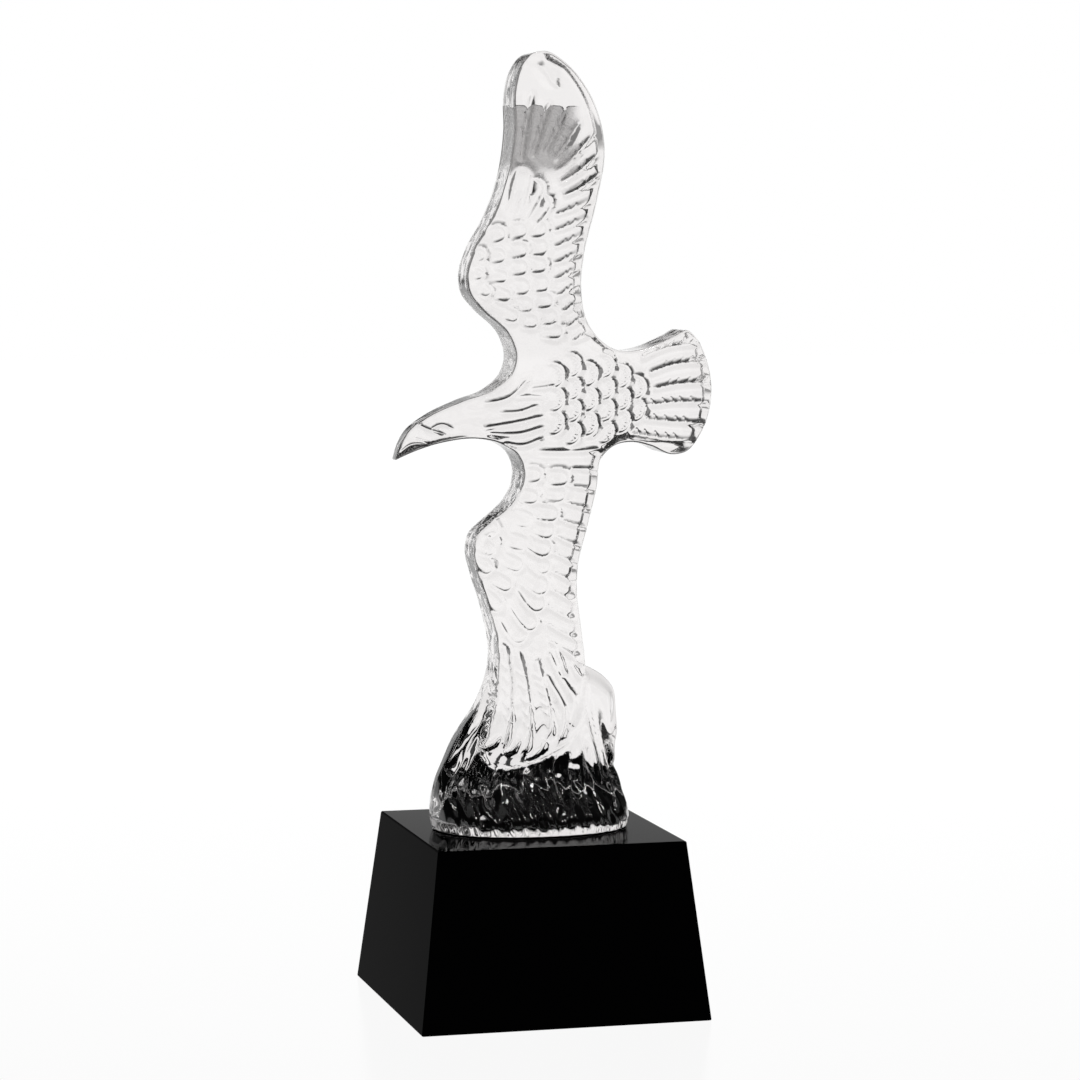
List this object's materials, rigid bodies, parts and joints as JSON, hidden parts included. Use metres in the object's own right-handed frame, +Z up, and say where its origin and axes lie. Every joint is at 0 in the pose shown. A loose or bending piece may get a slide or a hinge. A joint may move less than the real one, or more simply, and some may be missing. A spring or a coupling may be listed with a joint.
{
  "type": "crystal eagle figurine on a black base",
  "caption": "Clear moulded crystal eagle in flight, its lower wing on a rock foot, standing on a tapered black block.",
  "frame": {"origin": "middle of the black base's underside", "axes": "+Z up, the eagle's carved front faces -Y, its head points to -X and its tail to +X"},
  "size_m": [0.114, 0.1018, 0.3305],
  "materials": {
    "clear_crystal": "clear polished moulded crystal with carved feathers",
    "black_crystal": "polished opaque black crystal"
  },
  "bodies": {
    "root": {"crystal_eagle": "clear_crystal", "black_base": "black_crystal"}
  },
  "joints": []
}
